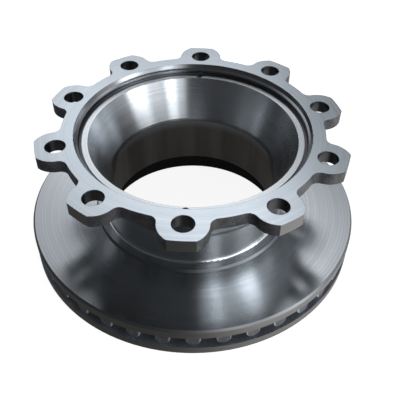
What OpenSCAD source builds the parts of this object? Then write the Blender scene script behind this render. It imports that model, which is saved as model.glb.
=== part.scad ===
// Ventilated brake disc for a heavy trailer or truck axle, turned from one grey iron casting.
// It stands on its inboard friction face. A tall hat rises from the friction ring, leans
// outward as a cone and ends in a flange of ten lobes, one for each wheel stud.
// The origin is the centre of the inboard friction face, and +Z runs up the axle's axis.
// The front stud hole lies on -Y.

/* [Friction ring] */
// Outer diameter of the friction ring
ring_d = 430; // [390:1:460]
// Thickness of the inboard plate, the one that the disc stands on
inboard_plate_t = 13; // [10:0.5:18]
// Thickness of the outboard plate, the one that carries the hat
outboard_plate_t = 13; // [10:0.5:18]
// Height of the air gap between the plates
vent_gap = 19; // [15:0.5:24]
// Chamfer on both outer edges of the ring
ring_chamfer = 2.5; // [1:0.5:4]
// Bore of the inboard plate
plate_bore_d = 242; // [226:1:250]
// Chamfer at the foot of the inboard plate's bore
plate_bore_chamfer = 2; // [1:0.5:4]
// Wall of the collar that stands up inside the gap, round the inboard plate's bore
collar_wall = 8; // [5:0.5:10]
// Height of that collar above the inboard plate
collar_h = 8; // [4:0.5:10]

/* [Vanes] */
// How many radial vanes join the plates
vane_count = 38; // [30:1:42]
// Turn of the first vane from the front stud hole, in degrees
vane_turn = 3.7; // [0:0.1:9]
// Thickness of a vane at its inner end
vane_inner_t = 9; // [6:0.5:11]
// Thickness of a vane where it comes near the rim
vane_outer_t = 17; // [12:0.5:18]
// Free way between the collar and the inner ends of the vanes
vane_inlet = 4; // [2:0.5:10]
// How far the full-height part of a vane stays back from the rim
vane_setback = 9; // [5:0.5:14]
// Width of the nose that carries each vane out towards the rim
nose_w = 17.5; // [14:0.5:20]
// How far the round bottom of the nose hangs below the outboard plate
nose_drop = 15.5; // [11:0.5:17]
// How far the rough end of the nose stays back from the turned rim
nose_setback = 1.5; // [0.5:0.5:3]
// Round on the edge of the nose's end
nose_round = 2.5; // [1:0.5:4]
// Casting fillet between the nose and the outboard plate
nose_fillet = 3; // [1:0.5:4]

/* [Hat] */
// Height from the inboard friction face to the top of the flange
disc_h = 168; // [158:1:200]
// Bore of the hat's straight part
hat_bore_d = 212; // [196:1:216]
// Wall of the hat's straight part
hat_wall = 11; // [8:0.5:14]
// Wall of the cone, measured square to it
cone_wall = 12; // [10:0.5:15]
// Lean of the cone from the axis, in degrees
cone_lean = 24.1; // [20:0.1:28]
// Round where the cone's outside runs into the straight part
outer_blend_r = 22; // [10:1:30]
// Round where the cone's inside runs into the straight bore
inner_blend_r = 18; // [8:1:30]
// Fillet between the cone and the underside of the flange
neck_fillet = 8; // [4:0.5:10]
// Fillet at the foot of the hat
foot_fillet = 3; // [1:0.5:5]
// Round lip at the lower end of the hat's bore
lip_r = 4; // [2:0.5:6]
// Width of the raised land round the foot of the hat
land_w = 11.5; // [8:0.5:16]
// Height of the land above the outboard friction face
land_rise = 3; // [1:0.5:4]
// Run of the slope from the land down to the friction face
land_slope = 2.5; // [1:0.5:4]

/* [Flange] */
// Thickness of the flange
flange_t = 16; // [15:0.5:22]
// Number of stud holes, one in each lobe
stud_count = 10; // [6:1:11]
// Diameter of the circle that the stud holes lie on
stud_circle_d = 335; // [330:1:345]
// Diameter of a stud hole
stud_hole_d = 24; // [18:0.5:27]
// Broken edge at both ends of a stud hole
stud_hole_chamfer = 0.6; // [0.3:0.1:1.5]
// Radius of a lobe about its stud hole
lobe_r = 28; // [25:0.5:32]
// How far a lobe reaches past the stud circle, where it is turned off
lobe_reach = 24; // [20:0.5:24.5]
// How far the valleys between the lobes lie inside the stud circle
valley_inset = 5.8; // [3:0.1:8]
// Fillet between a lobe and the valley beside it
valley_fillet = 10; // [5:0.5:14]

/* [Hub register] */
// Diameter of the wall that centres the disc on its hub
register_d = 283; // [276:1:290]
// Depth of the seat below the top of the flange
seat_depth = 12.5; // [10:0.5:13.5]
// Width of the seat, from the register wall to the cone
seat_w = 11.2; // [8:0.1:14]
// Width of the relief groove at the foot of the register wall
groove_w = 4; // [2:0.5:5]
// Depth of that groove below the seat
groove_depth = 1; // [0.5:0.5:1.5]
// How far the groove's sloped flank runs in from the register wall, and up it from the seat
groove_relief = 0.8; // [0.4:0.1:0.8]
// Chamfer at the top of the register wall
register_chamfer = 2.2; // [1:0.1:3]
// Depth of the tapered mouth above that chamfer
mouth_depth = 4.8; // [3:0.1:6]
// How much the mouth widens towards the top, on the radius
mouth_flare = 2.3; // [1:0.1:3]
// Diameter of the two blind holes drilled in the seat
seat_hole_d = 9; // [6:0.2:9.2]
// Depth of those holes, without the drill's point
seat_hole_depth = 4; // [2:0.5:5]
// Distance from the register wall to the centre of those holes
seat_hole_inset = 5.8; // [5.5:0.1:6.2]

/* [Hidden] */

// Facets round a large turned surface, round a hole or a lobe, and round a small arc
turn_fn = 180;
hole_fn = 96;
arc_fn = 48;
// Overlap that lets joined and cut forms run through each other
over = 1;
// Depth by which an arc crosses the line that it blends into, so that the two never only touch
sink = 0.02;
// Included angle of a drill's point
drill_point = 118;
// Points of the compass, as angles about the axis
front = -90;
back = 90;

// Levels from the inboard friction face upwards
gap_top = inboard_plate_t + vent_gap;
face_z = gap_top + outboard_plate_t;
land_z = face_z + land_rise;
flange_z = disc_h - flange_t;
seat_z = disc_h - seat_depth;
register_top = disc_h - mouth_depth - register_chamfer;

// Radii
ring_r = ring_d / 2;
plate_bore_r = plate_bore_d / 2;
collar_r = plate_bore_r + collar_wall;
bore_r = hat_bore_d / 2;
hat_r = bore_r + hat_wall;
land_r = hat_r + land_w;
register_r = register_d / 2;
seat_r = register_r - seat_w;
stud_r = stud_circle_d / 2;
flange_r = stud_r + lobe_reach;
valley_r = stud_r - valley_inset;
nose_r = nose_w / 2;

// The cone's inside starts at the seat's inner edge. Its outside lies one wall further out.
slope = tan(cone_lean);
cone_foot_z = seat_z - (seat_r - bore_r) / slope;
outer_shift = cone_wall / cos(cone_lean);
neck_top_r = seat_r + outer_shift - (seat_z - flange_z) * slope;
neck_foot_z = flange_z - (neck_top_r - hat_r) / slope;

// The revolved part of the flange ends between the neck's fillet and the valleys
flange_root_r = valley_r - 2 * over;

function polar(r, angle) = [r * cos(angle), r * sin(angle)];

// The sliver between a corner at p and the arc of radius r that rounds it. The corner's two
// edges leave p at the angles a and b. Added it is a fillet, and taken away it is a round.
module corner(p, a, b, r) {
    half = abs(a - b) / 2;
    middle = (a + b) / 2;
    reach = r / tan(half);
    centre = p + polar((r - sink) / sin(half), middle);
    difference() {
        polygon([p - polar(over, middle), p + polar(reach, a), centre, p + polar(reach, b)]);
        translate(centre) circle(r = r, $fn = arc_fn);
    }
}

// A bar with round ends, from radius r1 at the origin to radius r2 at a distance along +X
module tapered_bar(length, r1, r2) {
    lean = asin((r2 - r1) / length);
    polygon([
        polar(r1 - sink, 90 + lean),
        [length, 0] + polar(r2 - sink, 90 + lean),
        [length, 0] + polar(r2 - sink, -90 - lean),
        polar(r1 - sink, -90 - lean)
    ]);
    circle(r = r1, $fn = arc_fn);
    translate([length, 0]) circle(r = r2, $fn = arc_fn);
}

// Solid section of the outboard plate, the hat's outside and the root of the flange
module hat_section() {
    difference() {
        polygon([
            [0, gap_top],
            [ring_r, gap_top],
            [ring_r, face_z - ring_chamfer],
            [ring_r - ring_chamfer, face_z],
            [land_r + land_slope, face_z],
            [land_r, land_z],
            [hat_r, land_z],
            [hat_r, neck_foot_z],
            [neck_top_r, flange_z],
            [flange_root_r, flange_z],
            [flange_root_r, disc_h],
            [0, disc_h]
        ]);
        hat_cavity_section();
    }
    corner([hat_r, land_z], 0, 90, foot_fillet);
    corner([hat_r, neck_foot_z], -90, 90 - cone_lean, outer_blend_r);
    corner([neck_top_r, flange_z], -90 - cone_lean, 0, neck_fillet);
}

// Section of everything turned out of the hat: mouth, register, groove, cone and bore
module hat_cavity_section() {
    mouth_r = register_r + register_chamfer + mouth_flare;
    polygon([
        [-over, gap_top - over],
        [bore_r, gap_top - over],
        [bore_r, cone_foot_z],
        [seat_r, seat_z],
        [register_r - groove_w, seat_z],
        [register_r - groove_w, seat_z - groove_depth],
        [register_r - groove_relief, seat_z - groove_depth],
        [register_r, seat_z + groove_relief],
        [register_r, register_top],
        [register_r + register_chamfer, register_top + register_chamfer],
        [mouth_r, disc_h],
        [mouth_r, disc_h + over],
        [-over, disc_h + over]
    ]);
    corner([bore_r, cone_foot_z], -90, 90 - cone_lean, inner_blend_r);
    corner([bore_r, gap_top], 0, 90, lip_r);
}

// Section of the inboard plate with the collar round its bore
module inboard_plate_section() {
    polygon([
        [plate_bore_r + plate_bore_chamfer, 0],
        [ring_r - ring_chamfer, 0],
        [ring_r, ring_chamfer],
        [ring_r, inboard_plate_t],
        [collar_r, inboard_plate_t],
        [collar_r, inboard_plate_t + collar_h],
        [plate_bore_r, inboard_plate_t + collar_h],
        [plate_bore_r, plate_bore_chamfer]
    ]);
}

// A nose along +X, from the line where the plate's underside lies: a round bar for its bottom
// and a straight-sided block above it, both with a rounded end
module nose(length) {
    side_h = nose_drop - nose_r;
    translate([0, 0, -side_h])
        rotate([0, 90, 0])
            rotate_extrude($fn = arc_fn)
                difference() {
                    square([nose_r, length]);
                    corner([nose_r, length], 180, 270, nose_round);
                }
    translate([0, 0, -side_h])
        linear_extrude(side_h + over)
            difference() {
                translate([0, sink - nose_r]) square([length, nose_w - 2 * sink]);
                corner([length, nose_r - sink], 180, 270, nose_round);
                corner([length, sink - nose_r], 90, 180, nose_round);
            }
    rotate([90, 0, 90])
        linear_extrude(length - nose_round) {
            corner([nose_r - sink, 0], -90, 0, nose_fillet);
            corner([sink - nose_r, 0], 180, 270, nose_fillet);
        }
}

// One vane along +X: a full-height web between the plates and the nose that nears the rim
module vane() {
    inner_x = collar_r + vane_inlet + vane_inner_t / 2;
    outer_x = ring_r - vane_setback - vane_outer_t / 2;
    translate([inner_x, 0, inboard_plate_t - over])
        linear_extrude(vent_gap + 2 * over)
            tapered_bar(outer_x - inner_x, vane_inner_t / 2, vane_outer_t / 2);
    translate([outer_x, 0, gap_top]) nose(ring_r - nose_setback - outer_x);
}

// Outline of the flange: lobes turned off at the rim, and valleys with filleted flanks
module flange_outline() {
    centre_r = valley_r + valley_fillet - sink;
    lobe_gap = lobe_r + valley_fillet - sink;
    swing = acos((centre_r ^ 2 + stud_r ^ 2 - lobe_gap ^ 2) / (2 * centre_r * stud_r));
    intersection() {
        circle(r = flange_r, $fn = turn_fn);
        union() {
            circle(r = valley_r, $fn = turn_fn);
            for (i = [0 : stud_count - 1])
                rotate(front + i * 360 / stud_count) {
                    translate([stud_r, 0]) circle(r = lobe_r, $fn = hole_fn);
                    valley_flank(centre_r, lobe_gap, swing);
                    mirror([0, 1]) valley_flank(centre_r, lobe_gap, swing);
                }
        }
    }
}

// The fill between one side of a lobe and the valley, hollowed by the fillet's arc
module valley_flank(centre_r, lobe_gap, swing) {
    stud = [stud_r, 0];
    centre = polar(centre_r, swing);
    difference() {
        polygon([
            [valley_r - lobe_r, 0],
            stud,
            stud + (centre - stud) * lobe_r / lobe_gap,
            centre,
            polar(valley_r, swing)
        ]);
        translate(centre) circle(r = valley_fillet, $fn = hole_fn);
    }
}

// A stud hole with both edges broken, from the flange's underside up
module stud_hole() {
    r = stud_hole_d / 2;
    c = stud_hole_chamfer;
    translate([0, 0, -over]) cylinder(r = r, h = flange_t + 2 * over, $fn = hole_fn);
    translate([0, 0, -over]) cylinder(r1 = r + c + over, r2 = r, h = c + over, $fn = hole_fn);
    translate([0, 0, flange_t - c])
        cylinder(r1 = r, r2 = r + c + over, h = c + over, $fn = hole_fn);
}

// A blind hole with a drill's point, from the seat down
module seat_hole() {
    r = seat_hole_d / 2;
    point_h = r / tan(drill_point / 2);
    translate([0, 0, -seat_hole_depth]) cylinder(r = r, h = seat_hole_depth + over, $fn = arc_fn);
    translate([0, 0, -seat_hole_depth - point_h])
        cylinder(r1 = 0, r2 = r, h = point_h, $fn = arc_fn);
}

module brake_disc() {
    color("silver")
        difference() {
            union() {
                rotate_extrude($fn = turn_fn) hat_section();
                rotate_extrude($fn = turn_fn) inboard_plate_section();
                for (i = [0 : vane_count - 1])
                    rotate(front + vane_turn + i * 360 / vane_count) vane();
                translate([0, 0, flange_z])
                    linear_extrude(flange_t)
                        difference() {
                            flange_outline();
                            circle(r = flange_root_r - over, $fn = turn_fn);
                        }
            }
            for (i = [0 : stud_count - 1])
                rotate(front + i * 360 / stud_count)
                    translate([stud_r, 0, flange_z]) stud_hole();
            for (angle = [front, back])
                rotate(angle)
                    translate([register_r - seat_hole_inset, 0, seat_z]) seat_hole();
        }
}

brake_disc();
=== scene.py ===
import math

import bpy
from mathutils import Matrix, Vector

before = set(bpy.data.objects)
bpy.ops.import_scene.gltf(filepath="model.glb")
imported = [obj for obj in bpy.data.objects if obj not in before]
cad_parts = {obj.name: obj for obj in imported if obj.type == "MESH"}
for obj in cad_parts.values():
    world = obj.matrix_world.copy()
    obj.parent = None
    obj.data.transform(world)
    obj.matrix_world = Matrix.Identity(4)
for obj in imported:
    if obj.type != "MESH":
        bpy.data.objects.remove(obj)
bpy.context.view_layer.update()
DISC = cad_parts["brake_disc"]
MM = 0.001

# Levels of the disc above the face that it stands on, in metres
DISC_H = 0.168
SEAT_Z = 0.1555
FLANGE_Z = 0.152
LAND_Z = 0.048
FACE_Z = 0.045
GAP_TOP_Z = 0.032
PLATE_TOP_Z = 0.013

# Radii of the disc, in metres
RING_R = 0.215
FLANGE_R = 0.1915
STUD_R = 0.1675
MOUTH_R = 0.1465
REGISTER_R = 0.1415
GROOVE_R = 0.1375

# Radii at which a finish starts or ends, in metres
CHAMFER_INNER = 0.211
NOSE_HIGHLIGHT_INNER = 0.2095
NECK_OUTER = 0.1505
LAND_OUTER = 0.135
CONE_OUTER = 0.1315
SEAT_INNER = 0.1295
PLATE_BORE_OUTER = 0.1245

# The stud holes, the first of them in front
STUD_COUNT = 10
STUD_HOLE_R = 0.012
FRONT_STUD = -math.pi / 2

# How far a face's centre may lie from its surface, from loosely to closely
SLACK = 0.0012
TURNED_SLACK = 0.0006
FLAT_SLACK = 0.0004
HAIR = 0.0001

# How much of a face's normal has to point a given way, from squarely to barely
SQUARE = 0.98
NEAR_SQUARE = 0.93
LEVEL = 0.9
SLOPED = 0.5
LEANING = 0.3
BARELY = 0.05

# The photograph's camera, solved from the ten stud holes, in pixels, mm, degrees and metres
IMAGE_SIZE = 400
FOCAL_PIXELS = 575.5
SENSOR = 36.0
CAMERA_ELEVATION = 43.615
CAMERA_ROLL = 0.872
CAMERA_AZIMUTH = 2.52
CAMERA_DISTANCE = 0.7066
AIM_RIGHT = 0.0081
AIM_DOWN = 0.0911
NEAREST = 0.01
FARTHEST = 20.0

# Colours that several finishes share
MILLED = (0.48, 0.525, 0.57)
MILLED_DARK = (0.38, 0.42, 0.46)
STEEL = (0.51, 0.535, 0.56)
STEEL_DARK = (0.41, 0.435, 0.46)
BORE = (0.29, 0.275, 0.25)
STAIN = (0.16, 0.13, 0.105)

# Where the inside of the hat goes from the bore's colour to the cone's, in mm
BORE_FADE = (84.0, 104.0)

# The lathe's marks. Bands are wide marks and clouds are patches. Streaks, darker and running up a
# wall, are painted reflections. A step is where noise goes from one colour to the other
MARK_STEP = (0.3, 0.7)
REFLECTION_STREAK_STEP = (0.3, 0.7)
STAIN_STEP = (0.5, 0.75)
TINT_SHARE = 0.55
BAND_RATE = 0.22
BAND_SHARE = 0.6
CLOUD_SCALE = 22.0
REFLECTION_STREAK_SCALE = 28.0
REFLECTION_STREAK_SQUEEZE = 0.08
REFLECTION_STREAK_DARK = 0.6
MARK_STRENGTH = 0.6
QUARTER_TURN = 0.25

# The skin of the casting, pebbles with wider clouds
SKIN_STEP = (0.35, 0.65)
PEBBLE_SHARE = 0.6
PEBBLE_WANDER = 0.2
PEBBLE_STRENGTH = 0.9
SKIN_CLOUD_SCALE = 60.0
SKIN_METALLIC = 0.75

# The look of the edges' round, in mm, and the rays that feel for it
EDGE_ROUND = 0.7
EDGE_SAMPLES = 4

# The floor, in metres. The metal sees HOLE_GLOW of its white inside HOLE_BORDER, and on the front
# left a painted shadow: a dark patch in the floor that only the metal sees, in place of the floor's
# shade there. The next three give the side it lies on, the border across which it sets in, and its
# colour
FLOOR_REACH = 6.0
FLOOR_COLOUR = (0.5, 0.5, 0.5)
FLOOR_GLOW = 0.9
HOLE_GLOW = 0.08
HOLE_BORDER = (0.17, 0.26)
PAINTED_SHADOW_SIDE = (-0.75, -0.66, 0.0)
PAINTED_SHADOW_BORDER = (0.02, 0.20)
PAINTED_SHADOW_COLOUR = (0.15, 0.15, 0.15)

# The studio's light. PANEL_BACK keeps a panel off the side away from it, and PANEL_CORE is the
# least half width that stays at full strength, in degrees
LIGHT_COLOUR = (0.96, 0.98, 1.0)
ROOM_LEVEL = 0.03
PANEL_BACK = (0.02, 0.1)
PANEL_CORE = 0.5
# Azimuth, elevation, width, height and soft border in degrees, then the strength. The first
# five stand behind the disc and light its flat faces. The next two, overhead and on the left,
# lift the shadows. Two more behind it follow, and the last six, in front and on the right,
# make the streaks in the cone, on the neck and on the friction face.
PANELS = (
    (178, 54, 18, 10, 5, 1.6),
    (181, 44, 18, 10, 5, 2.1),
    (188, 34, 22, 10, 5, 1.8),
    (200, 44, 14, 24, 4, 0.5),
    (228, 28, 44, 50, 10, 0.5),
    (0, 88, 14, 14, 6, 0.6),
    (-60, 34, 140, 50, 10, 0.05),
    (154, 46, 12, 26, 5, 0.5),
    (166, 51, 8, 14, 4, 0.8),
    (17, 19, 7, 30, 4, 1.6),
    (29, 22, 12, 34, 3, 4.0),
    (47, 19, 18, 30, 4, 1.9),
    (68, 19, 21, 30, 4, 4.8),
    (94, 22, 26, 34, 8, 1.1),
    (125, 20, 40, 50, 10, 0.3),
)


class Tree:
    """A material's or the world's node tree, built up by short calls."""

    def __init__(self, owner):
        owner.use_nodes = True
        self.tree = owner.node_tree
        self.tree.nodes.clear()

    def add(self, kind, settings=None, **inputs):
        """Adds a node. An input is a number, a colour, or another node's output socket. Its name
        has underscores for spaces, or it is in0, in1 and so on for a socket's place."""
        made = self.tree.nodes.new(kind)
        for key, value in (settings or {}).items():
            setattr(made, key, value)
        for key, value in inputs.items():
            socket = int(key[2:]) if key.startswith("in") else key.replace("_", " ")
            self.feed(made.inputs[socket], value)
        return made

    def feed(self, socket, value):
        if isinstance(value, bpy.types.NodeSocket):
            self.tree.links.new(value, socket)
        else:
            socket.default_value = value

    def math(self, operation, a, b=0.0):
        return self.add("ShaderNodeMath", {"operation": operation}, in0=a, in1=b).outputs[0]

    def dot(self, a, direction):
        made = self.add("ShaderNodeVectorMath", {"operation": "DOT_PRODUCT"}, in0=a, in1=direction)
        return made.outputs["Value"]

    def mix(self, share, a, b):
        """The colour that goes from a to b as share goes from 0 to 1."""
        made = self.add("ShaderNodeMix", {"data_type": "RGBA"}, in0=share, in6=a, in7=b)
        return made.outputs[2]

    def ramp(self, value, low, high, smooth=True):
        """0 at low and 1 at high, with a smooth or a straight step between them."""
        kind = "SMOOTHSTEP" if smooth else "LINEAR"
        made = self.add("ShaderNodeMapRange", {"interpolation_type": kind}, Value=value,
                        From_Min=low, From_Max=high)
        return made.outputs["Result"]

    def noise(self, place, scale, detail, roughness):
        """Noise in space."""
        made = self.add("ShaderNodeTexNoise", {}, Vector=place, Scale=scale, Detail=detail,
                        Roughness=roughness)
        return made.outputs["Fac"]

    def lines(self, along, scale, roughness):
        """Noise that changes along one measure alone."""
        made = self.add("ShaderNodeTexNoise", {"noise_dimensions": "1D"}, W=along, Scale=scale,
                        Detail=1.0, Roughness=roughness)
        return made.outputs["Fac"]

    def sum(self, a, a_share, b):
        """a_share of a, and b for the rest."""
        rest = self.math("MULTIPLY", b, 1 - a_share)
        return self.math("ADD", self.math("MULTIPLY", a, a_share), rest)

    def edge_round(self):
        """The normal near an edge, as if the edge were rounded."""
        made = self.add("ShaderNodeBevel", {"samples": EDGE_SAMPLES}, Radius=EDGE_ROUND * MM)
        return made.outputs[0]


def rgb(r, g, b):
    return (r, g, b, 1.0)


def place_camera():
    """Puts the camera where the photograph was taken from."""
    elevation = math.radians(CAMERA_ELEVATION)
    roll = math.radians(CAMERA_ROLL)
    forward = Vector((0.0, math.cos(elevation), -math.sin(elevation)))
    level = Vector((1.0, 0.0, 0.0))
    down = forward.cross(level)
    right = math.cos(roll) * level - math.sin(roll) * down
    lower = math.sin(roll) * level + math.cos(roll) * down
    eye = right * AIM_RIGHT + lower * AIM_DOWN - forward * CAMERA_DISTANCE
    turn = Matrix.Rotation(math.radians(CAMERA_AZIMUTH), 3, "Z")
    axes = Matrix((right, -lower, -forward)).transposed()
    data = bpy.data.cameras.new("camera")
    data.sensor_width = SENSOR
    data.lens = SENSOR * FOCAL_PIXELS / IMAGE_SIZE
    data.clip_start = NEAREST
    data.clip_end = FARTHEST
    camera = bpy.data.objects.new("camera", data)
    bpy.context.scene.collection.objects.link(camera)
    place = Vector((0.0, 0.0, DISC_H)) + turn @ eye
    camera.matrix_world = Matrix.Translation(place) @ (turn @ axes).to_4x4()
    bpy.context.scene.camera = camera


def ring_radius(tree, xyz):
    """Distance from the disc's axis, in millimetres."""
    x = tree.math("MULTIPLY", xyz.outputs["X"], 1 / MM)
    y = tree.math("MULTIPLY", xyz.outputs["Y"], 1 / MM)
    square = tree.math("ADD", tree.math("MULTIPLY", x, x), tree.math("MULTIPLY", y, y))
    return tree.math("SQRT", square)


def fade_below(tree, xyz, height, shade, low_colour, fade):
    """Lets the shade fade to low_colour between two heights in mm, with darker streaks painted in as
    reflections.
    """
    upright = tree.add("ShaderNodeCombineXYZ", {}, X=xyz.outputs["X"], Y=xyz.outputs["Y"],
                       Z=tree.math("MULTIPLY", xyz.outputs["Z"], REFLECTION_STREAK_SQUEEZE)).outputs[0]
    # Darker upright streaks, painted reflections on the bore's wall
    painted_reflection_streaks = tree.noise(upright, REFLECTION_STREAK_SCALE, detail=3.0, roughness=0.6)
    painted_streak_colour = rgb(*(REFLECTION_STREAK_DARK * part for part in low_colour))
    low_shade = tree.mix(tree.ramp(painted_reflection_streaks, *REFLECTION_STREAK_STEP), rgb(*low_colour), painted_streak_colour)
    return tree.mix(tree.ramp(height, *fade), low_shade, shade)


def turned_iron(name, colour, tint, roughness, grain, marks, anisotropy, flat=True, stains=0.0,
                wander=0.08, low_colour=None, soft_edges=True):
    """Iron off the lathe. Its marks run round the axis: on a flat face they follow the radius,
    and on a wall the height. grain is the marks' pitch in mm and marks their depth in mm. wander
    is how far the roughness goes up and down, and stains how dark the stains are. low_colour is
    what a wall fades to at its foot, with darker streaks that are painted reflections. soft_edges
    rounds the look of the edges."""
    material = bpy.data.materials.new(name)
    tree = Tree(material)
    place = tree.add("ShaderNodeTexCoord").outputs["Object"]
    xyz = tree.add("ShaderNodeSeparateXYZ", Vector=place)
    height = tree.math("MULTIPLY", xyz.outputs["Z"], 1 / MM)
    along = ring_radius(tree, xyz) if flat else height
    fine = tree.lines(along, 1.0 / grain, roughness=0.6)
    bands = tree.lines(along, BAND_RATE / grain, roughness=0.5)
    clouds = tree.noise(place, CLOUD_SCALE, detail=4.0, roughness=0.6)
    tinted = tree.math("MULTIPLY", tree.ramp(fine, *MARK_STEP, smooth=False), TINT_SHARE)
    shade = tree.mix(tinted, rgb(*colour), rgb(*tint))
    if low_colour:
        shade = fade_below(tree, xyz, height, shade, low_colour, BORE_FADE)
    stained = tree.math("MULTIPLY", tree.ramp(clouds, *STAIN_STEP), stains)
    shade = tree.mix(stained, shade, rgb(*STAIN))
    uneven = tree.math("MULTIPLY", tree.sum(bands, BAND_SHARE, clouds), 2 * wander)
    bump = tree.add("ShaderNodeBump", {}, Height=fine, Distance=marks * MM, Strength=MARK_STRENGTH)
    if soft_edges:
        tree.feed(bump.inputs["Normal"], tree.edge_round())
    tangent = tree.add("ShaderNodeTangent", {"direction_type": "RADIAL", "axis": "Z"})
    shader = tree.add("ShaderNodeBsdfPrincipled", {}, Base_Color=shade, Metallic=1.0,
                      Roughness=tree.math("ADD", uneven, roughness - wander),
                      Anisotropic=anisotropy, Anisotropic_Rotation=QUARTER_TURN,
                      Tangent=tangent.outputs[0], Normal=bump.outputs[0])
    tree.add("ShaderNodeOutputMaterial", {}, Surface=shader.outputs[0])
    return material


def cast_iron(name, colour, tint, roughness, grain, depth):
    """Iron as it left the sand: dull, dark and pebbled. grain is the pebbles' size in mm and
    depth how far they stand out, in mm."""
    material = bpy.data.materials.new(name)
    tree = Tree(material)
    place = tree.add("ShaderNodeTexCoord").outputs["Object"]
    pebbles = tree.noise(place, 1 / (grain * MM), detail=4.0, roughness=0.65)
    clouds = tree.noise(place, SKIN_CLOUD_SCALE, detail=3.0, roughness=0.6)
    share = tree.sum(pebbles, PEBBLE_SHARE, clouds)
    shade = tree.mix(tree.ramp(share, *SKIN_STEP), rgb(*colour), rgb(*tint))
    uneven = tree.math("MULTIPLY", pebbles, PEBBLE_WANDER)
    bump = tree.add("ShaderNodeBump", {}, Height=pebbles, Distance=depth * MM,
                    Strength=PEBBLE_STRENGTH, Normal=tree.edge_round())
    shader = tree.add("ShaderNodeBsdfPrincipled", {}, Base_Color=shade, Metallic=SKIN_METALLIC,
                      Roughness=tree.math("ADD", uneven, roughness - PEBBLE_WANDER / 2),
                      Normal=bump.outputs[0])
    tree.add("ShaderNodeOutputMaterial", {}, Surface=shader.outputs[0])
    return material


def flange_face():
    """The milled top of the flange."""
    return turned_iron("flange_face", MILLED, MILLED_DARK, roughness=0.28, grain=1.6, marks=0.010,
                       anisotropy=0.4)


def seat():
    """The bright ledge inside the flange, and the chamfer above the register."""
    return turned_iron("seat", STEEL, STEEL_DARK, roughness=0.26, grain=1.2, marks=0.008,
                       anisotropy=0.6)


def register():
    """The wall that centres the disc on its hub."""
    return turned_iron("register", (0.28, 0.29, 0.31), (0.22, 0.23, 0.245), roughness=0.22,
                       grain=1.2, marks=0.004, anisotropy=0.3, flat=False, wander=0.03)


def groove():
    """The relief groove at the foot of the register, and the blind holes in the seat, painted near
    black as shade.
    """
    return turned_iron("groove", (0.10, 0.10, 0.11), (0.07, 0.07, 0.08), roughness=0.40,
                       grain=1.2, marks=0.008, anisotropy=0.6)


def hat_inside():
    """The inside of the cone, which goes over into the browner bore below it. The bore's darker
    streaks are painted reflections.
    """
    return turned_iron("hat_inside", STEEL, STEEL_DARK, roughness=0.25, grain=2.0, marks=0.006,
                       anisotropy=0.85, flat=False, wander=0.03, low_colour=BORE)


def neck():
    """The outside of the hat."""
    return turned_iron("neck", (0.72, 0.745, 0.77), (0.61, 0.635, 0.66), roughness=0.24,
                       grain=3.0, marks=0.004, anisotropy=0.8, flat=False, wander=0.04,
                       soft_edges=False)


def land_slope():
    """The slope from the raised land at the hat's foot down to the friction face."""
    return turned_iron("land_slope", (0.17, 0.18, 0.195), (0.14, 0.148, 0.16), roughness=0.40,
                       grain=1.2, marks=0.005, anisotropy=0.4)


def friction_face():
    """The faces that the pads run on, and the land round the hat's foot."""
    return turned_iron("friction_face", (0.40, 0.425, 0.45), (0.32, 0.34, 0.36), roughness=0.21,
                       grain=3.0, marks=0.005, anisotropy=0.75, wander=0.04, soft_edges=False)


def rim():
    """The turned and slightly stained outside of both plates."""
    return turned_iron("rim", (0.25, 0.245, 0.235), (0.17, 0.165, 0.16), roughness=0.38,
                       grain=1.2, marks=0.012, anisotropy=0.8, flat=False, stains=0.3)


def chamfer():
    """The broken outer edges of both plates."""
    return turned_iron("chamfer", (0.22, 0.23, 0.245), (0.17, 0.18, 0.19), roughness=0.42,
                       grain=1.2, marks=0.005, anisotropy=0.4)


def hole_wall():
    """The walls of the stud holes, painted near black as shade."""
    return turned_iron("hole_wall", (0.10, 0.10, 0.105), (0.06, 0.06, 0.065), roughness=0.35,
                       grain=1.0, marks=0.010, anisotropy=0.3, flat=False)


def plate_bore():
    """The walls inside the ring, under the hat, painted near black as shade."""
    return turned_iron("plate_bore", (0.045, 0.045, 0.047), (0.03, 0.03, 0.032), roughness=0.45,
                       grain=1.4, marks=0.010, anisotropy=0.4, flat=False)


def lobe_end():
    """The turned ends of the flange's lobes."""
    return turned_iron("lobe_end", (0.25, 0.245, 0.24), (0.16, 0.157, 0.152), roughness=0.38,
                       grain=1.0, marks=0.010, anisotropy=0.6, flat=False)


def lobe_flank():
    """The rough sides of the lobes and the underside of the flange."""
    return cast_iron("lobe_flank", (0.055, 0.056, 0.061), (0.17, 0.17, 0.178), roughness=0.5,
                     grain=1.6, depth=0.2)


def vane():
    """The vanes and the noses that hang between the plates."""
    return cast_iron("vane", (0.09, 0.095, 0.11), (0.20, 0.21, 0.24), roughness=0.5, grain=1.6,
                     depth=0.2)


def nose_edge():
    """The rounded edge of a nose's end, with a painted highlight: far paler than the rest of it."""
    return cast_iron("nose_edge", (0.55, 0.58, 0.64), (0.74, 0.77, 0.84), roughness=0.36,
                     grain=2.2, depth=0.1)


def vent_wall():
    """The walls of the plates that face the air gap."""
    return cast_iron("vent_wall", (0.19, 0.205, 0.24), (0.35, 0.375, 0.43), roughness=0.55,
                     grain=2.2, depth=0.25)


FINISHES = (flange_face, seat, register, groove, hat_inside, neck, land_slope, friction_face, rim,
            chamfer, hole_wall, plate_bore, lobe_end, lobe_flank, vane, nose_edge, vent_wall)


def near(value, target, slack):
    return abs(value - target) < slack


def in_stud_hole(centre):
    """Whether a point on the flange lies on the wall of a stud hole."""
    angle = math.atan2(centre.y, centre.x)
    pitch = 2 * math.pi / STUD_COUNT
    stud = FRONT_STUD + round((angle - FRONT_STUD) / pitch) * pitch
    away = math.hypot(centre.x - STUD_R * math.cos(stud), centre.y - STUD_R * math.sin(stud))
    return away < STUD_HOLE_R + SLACK


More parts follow.
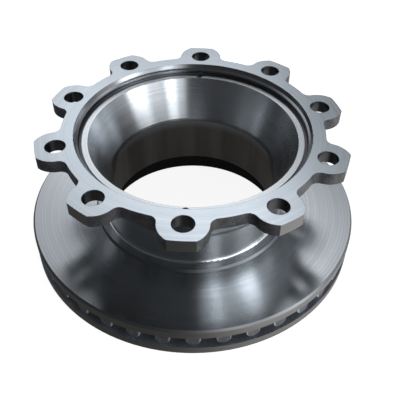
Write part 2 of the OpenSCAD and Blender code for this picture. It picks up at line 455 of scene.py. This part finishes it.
def flange_finish(centre, normal, radius, outward):
    """The finish at a point of the flange outside its mouth."""
    if in_stud_hole(centre) and abs(normal.z) < LEVEL:
        return hole_wall
    if normal.z > LEVEL:
        return flange_face
    turned = near(radius, FLANGE_R, SLACK) and outward > SQUARE
    return lobe_end if turned else lobe_flank


def mouth_finish(normal, radius, z):
    """The finish at a point inside the flange's mouth."""
    in_groove = radius > GROOVE_R - HAIR and z < SEAT_Z + TURNED_SLACK
    if z < SEAT_Z - HAIR or in_groove:
        return groove
    return register if radius > REGISTER_R - SLACK and normal.z < SLOPED else seat


def hat_finish(normal, radius, outward, z):
    """The finish at a point of the hat, or nothing if the point isn't on the hat."""
    if outward < -LEANING and z > GAP_TOP_Z - SLACK and radius < CONE_OUTER:
        return hat_inside
    if outward > BARELY and z > LAND_Z and radius < NECK_OUTER:
        return neck
    if z > FACE_Z + FLAT_SLACK and radius < LAND_OUTER:
        return friction_face if normal.z > LEVEL else land_slope
    return None


def ring_finish(normal, radius, outward, z):
    """The finish at a point of the friction ring."""
    if near(z, FACE_Z, FLAT_SLACK) and normal.z > LEVEL:
        return friction_face
    if near(z, 0.0, FLAT_SLACK) and normal.z < -LEVEL:
        return friction_face
    on_plate = z > GAP_TOP_Z + SLACK or z < PLATE_TOP_Z - SLACK
    if radius > CHAMFER_INNER and abs(normal.z) > LEANING and on_plate:
        return chamfer
    if near(radius, RING_R, TURNED_SLACK) and outward > SQUARE:
        return rim
    if radius < PLATE_BORE_OUTER and outward < -LEANING:
        return plate_bore
    # The slanted faces at a nose's end, near the rim, carry the painted highlight
    if radius > NOSE_HIGHLIGHT_INNER and LEANING < outward < NEAR_SQUARE:
        return nose_edge
    return vent_wall if abs(normal.z) > LEVEL else vane


def finish_at(centre, normal):
    """The finish of the surface at a point, from where it is and which way it faces."""
    radius = math.hypot(centre.x, centre.y)
    outward = (centre.x * normal.x + centre.y * normal.y) / max(radius, HAIR)
    z = centre.z
    if z > FLANGE_Z - SLACK and radius > MOUTH_R - SLACK:
        return flange_finish(centre, normal, radius, outward)
    if z > SEAT_Z - 2 * SLACK and outward <= BARELY and radius > SEAT_INNER:
        return mouth_finish(normal, radius, z)
    on_hat = hat_finish(normal, radius, outward, z)
    return on_hat or ring_finish(normal, radius, outward, z)


def dress_disc():
    """Gives each face of the casting the finish of its surface."""
    mesh = DISC.data
    mesh.materials.clear()
    for finish in FINISHES:
        mesh.materials.append(finish())
    for face in mesh.polygons:
        face.material_index = FINISHES.index(finish_at(face.center, face.normal))


def floor_material():
    """Pale and matt. The camera sees it white. So does the metal, apart from a dark spot inside
    the disc's hole and a painted shadow, a dark patch on the front left that only the metal sees."""
    material = bpy.data.materials.new("floor")
    tree = Tree(material)
    place = tree.add("ShaderNodeTexCoord").outputs["Object"]
    path = tree.add("ShaderNodeLightPath")
    away = tree.add("ShaderNodeVectorMath", {"operation": "LENGTH"}, in0=place).outputs["Value"]
    opened = tree.math("MULTIPLY", tree.ramp(away, *HOLE_BORDER), 1.0 - HOLE_GLOW)
    lit = tree.math("ADD", opened, HOLE_GLOW)
    mirrored = tree.math("MULTIPLY", path.outputs["Is Glossy Ray"], lit)
    seen = tree.math("MAXIMUM", path.outputs["Is Camera Ray"], mirrored)
    seen = tree.math("MAXIMUM", seen, path.outputs["Is Transmission Ray"])
    matt = tree.add("ShaderNodeBsdfDiffuse", {}, Color=rgb(*FLOOR_COLOUR))
    glow = tree.add("ShaderNodeEmission", {}, Color=rgb(1, 1, 1),
                    Strength=tree.math("MULTIPLY", seen, FLOOR_GLOW))
    white = tree.add("ShaderNodeAddShader", {}, in0=matt.outputs[0], in1=glow.outputs[0])
    # Painted shadow: dark grey that the metal sees on the front left instead of the floor's white
    painted_shadow = tree.add("ShaderNodeEmission", {}, Color=rgb(*PAINTED_SHADOW_COLOUR), Strength=1.0)
    on_painted_shadow = tree.ramp(tree.dot(place, PAINTED_SHADOW_SIDE), *PAINTED_SHADOW_BORDER)
    painted_shadow_share = tree.math("MULTIPLY", on_painted_shadow, path.outputs["Is Glossy Ray"])
    laid = tree.add("ShaderNodeMixShader", {}, in0=painted_shadow_share, in1=white.outputs[0], in2=painted_shadow.outputs[0])
    tree.add("ShaderNodeOutputMaterial", {}, Surface=laid.outputs[0])
    return material


def white_floor():
    """The floor that the disc stands on, which keeps its shadow."""
    mesh = bpy.data.meshes.new("floor")
    corners = [(FLOOR_REACH * x, FLOOR_REACH * y, 0) for x, y in ((-1, -1), (1, -1), (1, 1), (-1, 1))]
    mesh.from_pydata(corners, [], [(0, 1, 2, 3)])
    floor = bpy.data.objects.new("floor", mesh)
    bpy.context.scene.collection.objects.link(floor)
    mesh.materials.append(floor_material())


def panel(tree, way, azimuth, elevation, width, height, soft, strength):
    """The light of a soft panel far off. Azimuth 0 is in front and grows to the right. The width,
    the height and the soft border are degrees."""
    a, e = math.radians(azimuth), math.radians(elevation)
    ahead = Vector((math.sin(a) * math.cos(e), -math.cos(a) * math.cos(e), math.sin(e)))
    side = Vector((math.cos(a), math.sin(a), 0.0))
    up = side.cross(ahead)
    if up.z < 0:
        up = -up
    along = tree.dot(way, ahead)
    depth = tree.math("MAXIMUM", along, PANEL_BACK[0])
    light = tree.ramp(along, *PANEL_BACK)
    for axis, size in ((side, width), (up, height)):
        offset = tree.math("ABSOLUTE", tree.math("DIVIDE", tree.dot(way, axis), depth))
        inner = math.tan(math.radians(max(size / 2 - soft, PANEL_CORE)))
        outer = math.tan(math.radians(size / 2 + soft))
        light = tree.math("MULTIPLY", light, tree.ramp(offset, outer, inner))
    return tree.math("MULTIPLY", light, strength)


def studio_world():
    """White for the camera and through glass. The disc is lit by soft panels in a dim room."""
    world = bpy.data.worlds.new("studio")
    bpy.context.scene.world = world
    tree = Tree(world)
    way = tree.add("ShaderNodeTexCoord").outputs["Generated"]
    light = panel(tree, way, *PANELS[0])
    for numbers in PANELS[1:]:
        light = tree.math("ADD", light, panel(tree, way, *numbers))
    light = tree.math("ADD", light, ROOM_LEVEL)
    path = tree.add("ShaderNodeLightPath")
    seen = tree.math("MAXIMUM", path.outputs["Is Camera Ray"], path.outputs["Is Transmission Ray"])
    room = tree.add("ShaderNodeBackground", {}, Color=rgb(*LIGHT_COLOUR), Strength=light)
    white = tree.add("ShaderNodeBackground", {}, Color=rgb(1, 1, 1), Strength=1.0)
    both = tree.add("ShaderNodeMixShader", {}, in0=seen, in1=room.outputs[0], in2=white.outputs[0])
    tree.add("ShaderNodeOutputWorld", {}, Surface=both.outputs[0])


place_camera()
dress_disc()
white_floor()
studio_world()
bpy.context.scene.view_settings.view_transform = "Standard"
